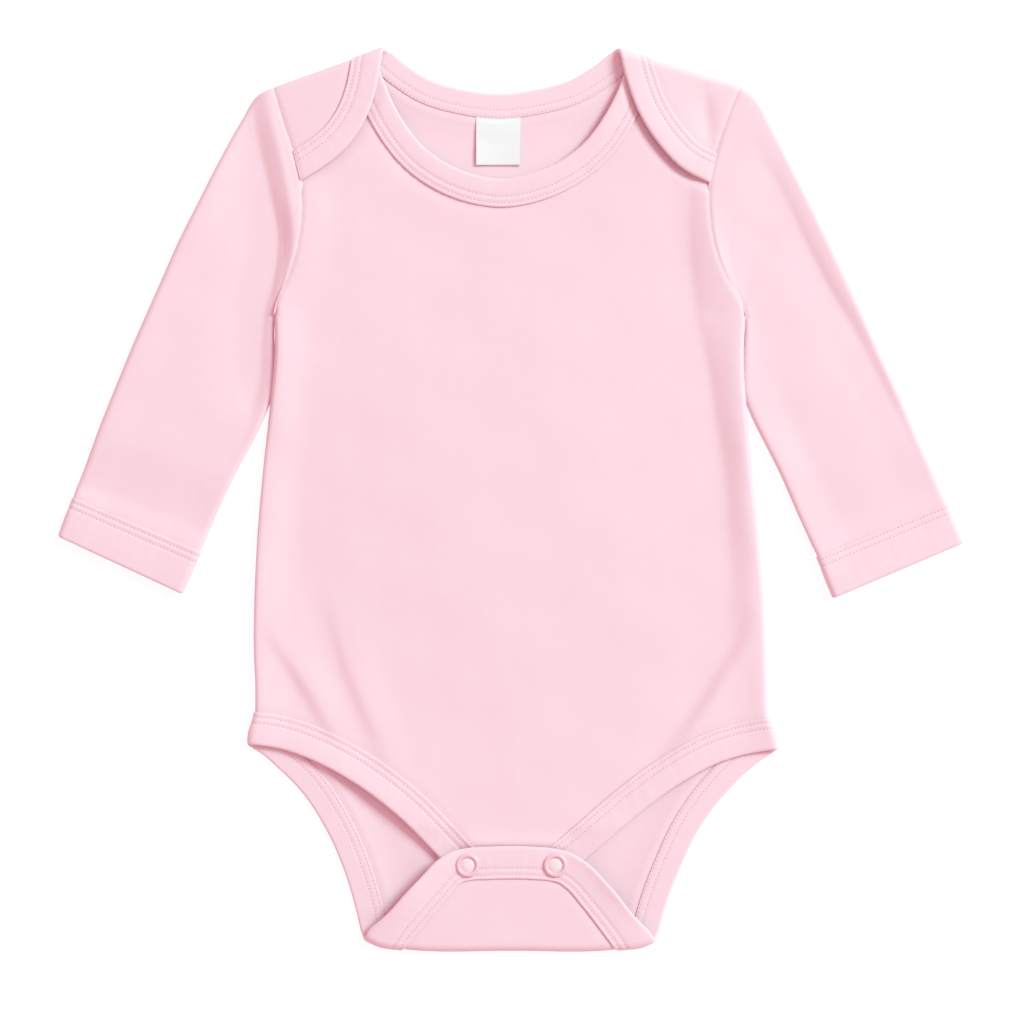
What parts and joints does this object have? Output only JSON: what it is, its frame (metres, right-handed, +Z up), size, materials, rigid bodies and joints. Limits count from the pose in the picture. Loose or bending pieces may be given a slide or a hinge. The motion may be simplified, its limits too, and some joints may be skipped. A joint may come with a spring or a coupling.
{
  "type": "baby bodysuit",
  "caption": "Long-sleeved baby bodysuit with envelope shoulders, bound edges and a snapped crotch, laid flat on its back.",
  "frame": {"origin": "middle of the garment's outline, on the surface that it lies on", "axes": "+Z up out of the surface and out of the garment's front, +Y towards the neck, +X towards the sleeve on the viewer's right"},
  "size_m": [0.3982, 0.3979, 0.0085],
  "materials": {
    "knit": "pale pink cotton interlock, soft and matt, with a slight nap",
    "binding": "pale pink cotton interlock folded double, two rows of coverstitch",
    "label": "white woven ribbon, blank",
    "snap_enamel": "pale pink satin enamel on a brass prong ring",
    "snap_steel": "plated steel, satin"
  },
  "bodies": {
    "root": {"back_panel": "knit", "front_panel": "knit", "sleeve_left": "knit", "sleeve_right": "knit", "cuff_left": "binding", "cuff_right": "binding", "front_neck_binding": "binding", "back_neck_binding": "binding", "front_leg_binding": "binding", "back_leg_binding": "binding", "snap_ring_left": "snap_enamel", "snap_ring_right": "snap_enamel", "snap_press_left": "snap_steel", "snap_press_right": "snap_steel", "neck_label": "label"}
  },
  "joints": []
}
